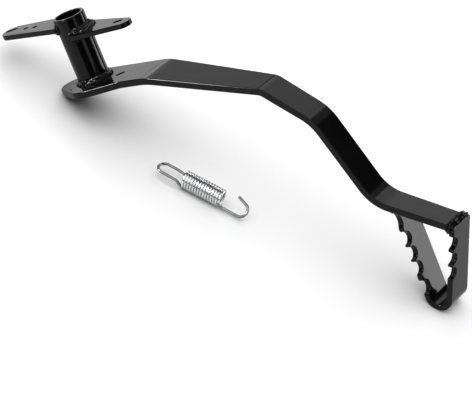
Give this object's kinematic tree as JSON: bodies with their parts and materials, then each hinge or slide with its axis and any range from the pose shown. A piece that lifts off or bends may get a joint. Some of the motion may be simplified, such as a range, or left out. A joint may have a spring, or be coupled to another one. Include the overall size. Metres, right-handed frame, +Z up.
{
  "type": "foot brake pedal with return spring",
  "caption": "Welded steel foot brake pedal for an off-road motorcycle or quad bike: pivot tube, drilled levers, bent arm, toothed toe loop, and a loose return spring beside it.",
  "frame": {"origin": "centre of the pivot bore's lower mouth, on the underside of the boss", "axes": "+Z up from the floor that the pedal lies on, +X along the pedal towards its toe loop, +Y away from the toothed edge. The bore leans from +Z towards -X by 38.6 degrees."},
  "size_m": [0.4656, 0.0641, 0.1151],
  "materials": {
    "black_paint": "gloss",
    "zinc_plate": "bright"
  },
  "bodies": {
    "pedal": {"pivot_tube": "black_paint", "pedal_arm": "black_paint", "brake_lever": "black_paint", "spring_lever": "black_paint", "toe_loop": "black_paint", "tube_weld": "black_paint", "brake_lever_weld": "black_paint", "spring_lever_weld": "black_paint", "loop_inner_weld": "black_paint", "loop_outer_weld": "black_paint"},
    "spring": {"spring_coil": "zinc_plate", "spring_eye": "zinc_plate"},
    "spring_end": {"spring_hook": "zinc_plate"}
  },
  "joints": [
    {"name": "spring_lift", "type": "slide", "parent": "pedal", "child": "spring", "axis": [0, 0, 1], "range_m": [0, 0.05]},
    {"name": "spring_stretch", "type": "slide", "parent": "spring", "child": "spring_end", "axis": [0.9976, 0.0698, 0], "range_m": [0, 0.025], "stiffness_N_per_m": 8800, "deforming": ["spring_coil"]}
  ]
}
